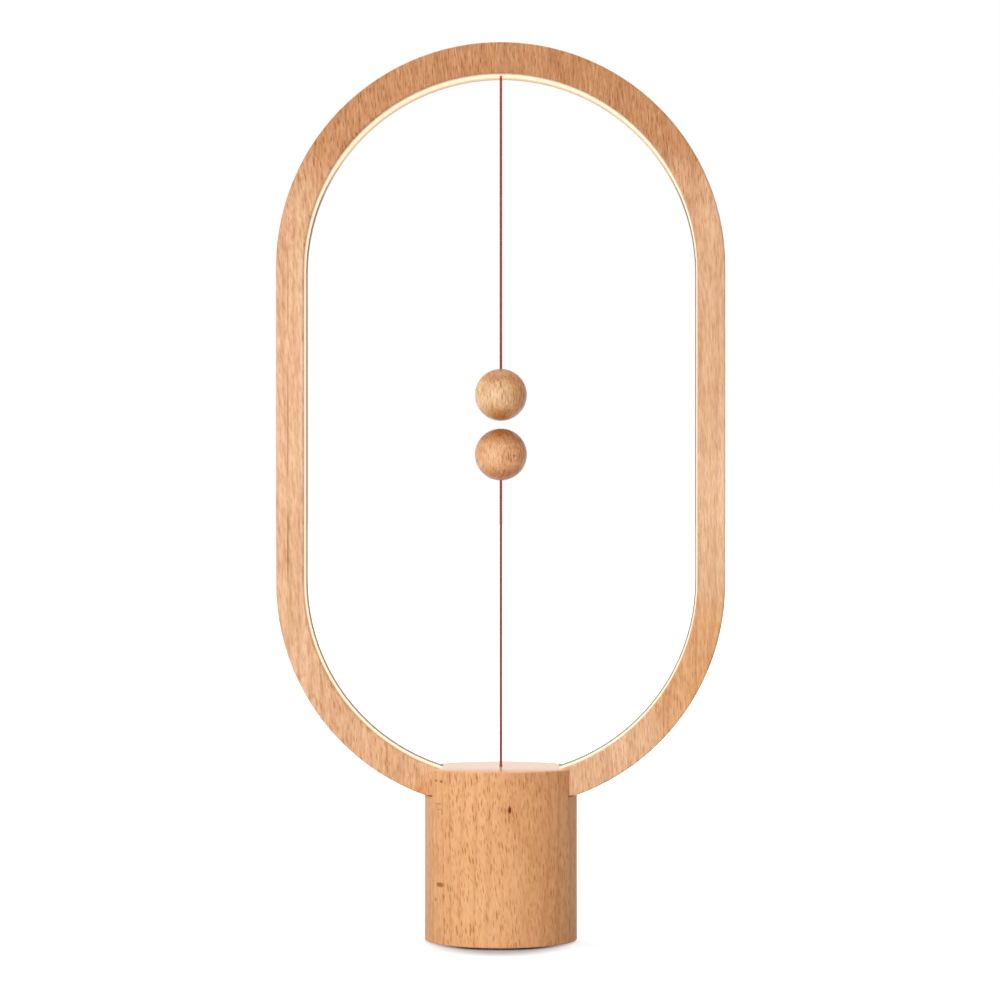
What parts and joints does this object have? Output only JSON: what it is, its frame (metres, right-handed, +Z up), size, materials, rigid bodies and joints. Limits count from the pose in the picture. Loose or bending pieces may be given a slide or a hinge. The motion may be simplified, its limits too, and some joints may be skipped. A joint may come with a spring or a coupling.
{
  "type": "magnetic balance lamp",
  "caption": "Table lamp: a tall wooden ring, lit on its inner face, stands in a round wooden base; a ball on a cord hangs from its top and lifts another by magnet to switch it on.",
  "frame": {"origin": "middle of the base's resting face", "axes": "+X to the right seen from the front, +Y towards the back, where the power inlet is, +Z up"},
  "size_m": [0.199, 0.068, 0.4],
  "materials": {
    "ring_beech": "oiled beech, satin",
    "base_beech": "oiled beech, satin",
    "upper_ball_beech": "turned beech, satin",
    "lower_ball_beech": "turned beech, satin",
    "opal_plastic": "frosted opal, lit",
    "led_tape": "white flexible tape",
    "led_chip": "yellow phosphor",
    "brass": "turned brass",
    "red_cord": "twisted red cord",
    "magnet_plate": "nickel plated",
    "steel": "zinc plated steel",
    "white_plastic": "moulded",
    "black_plastic": "moulded",
    "pale_plastic": "moulded",
    "board_green": "lacquered board",
    "dark_iron": "turned iron",
    "aluminium_can": "drawn can",
    "pad_rubber": "soft foam rubber",
    "wire_red": "wire insulation",
    "wire_white": "wire insulation"
  },
  "bodies": {
    "root": {"ring_frame": "ring_beech", "ring_diffuser": "opal_plastic", "led_strip": "led_tape", "led_chips": "led_chip", "cord_ferrule": "brass", "upper_cord_tail": "red_cord", "base_body": "base_beech", "base_saddle": "base_beech", "cord_bush": "pale_plastic", "ring_screws": "steel", "shuttle_guide": "white_plastic", "guide_screws": "steel", "return_spring": "steel", "switch_body": "black_plastic", "switch_terminals": "brass", "switch_screws": "steel", "bottom_plate": "black_plastic", "foot_pad": "pad_rubber", "ballast": "dark_iron", "ballast_screws": "steel", "bottom_screws": "steel", "main_board": "board_green", "board_spacers": "brass", "board_screws": "steel", "usb_shell": "steel", "usb_tongue": "black_plastic", "usb_bezel": "black_plastic", "led_plug_housing": "white_plastic", "switch_plug_housing": "white_plastic", "driver_chip": "black_plastic", "board_coil": "dark_iron", "board_capacitor": "aluminium_can", "led_wires": "wire_red", "switch_wires": "wire_white"},
    "upper_cord_bend": {"upper_cord_bend": "red_cord"},
    "upper_ball": {"upper_cord": "red_cord", "upper_ball_shell": "upper_ball_beech", "upper_ball_magnet": "magnet_plate", "upper_ball_plug": "upper_ball_beech", "upper_cord_knot": "red_cord"},
    "shuttle": {"cord_shuttle": "pale_plastic", "lower_cord_tail": "red_cord", "lower_cord": "red_cord"},
    "lower_ball": {"lower_ball_shell": "lower_ball_beech", "lower_ball_magnet": "magnet_plate", "lower_ball_plug": "lower_ball_beech", "lower_cord_knot": "red_cord"},
    "switch_plunger": {"switch_plunger": "pale_plastic"}
  },
  "joints": [
    {"name": "side_swing", "type": "hinge", "parent": "root", "child": "upper_cord_bend", "pos_m": [0, 0, 0.3856], "axis": [0, 1, 0], "range_deg": [-31, 31]},
    {"name": "front_swing", "type": "hinge", "parent": "upper_cord_bend", "child": "upper_ball", "pos_m": [0, 0, 0.3856], "axis": [1, 0, 0], "range_deg": [-45, 45]},
    {"name": "shuttle_slide", "type": "slide", "parent": "root", "child": "shuttle", "axis": [0, 0, 1], "range_m": [-0.002, 0], "stiffness_N_per_m": 60, "springref_m": -0.006, "deforming": ["return_spring"]},
    {"name": "lower_ball_drop", "type": "slide", "parent": "shuttle", "child": "lower_ball", "axis": [0, 0, 1], "range_m": [-0.1255, 0], "deforming": ["lower_cord"]},
    {"name": "plunger_travel", "type": "slide", "parent": "root", "child": "switch_plunger", "axis": [0, 0, 1], "range_m": [-0.002, 0]}
  ],
  "couplings": [
    {"joint": "plunger_travel", "follows": "shuttle_slide", "ratio": 1}
  ]
}
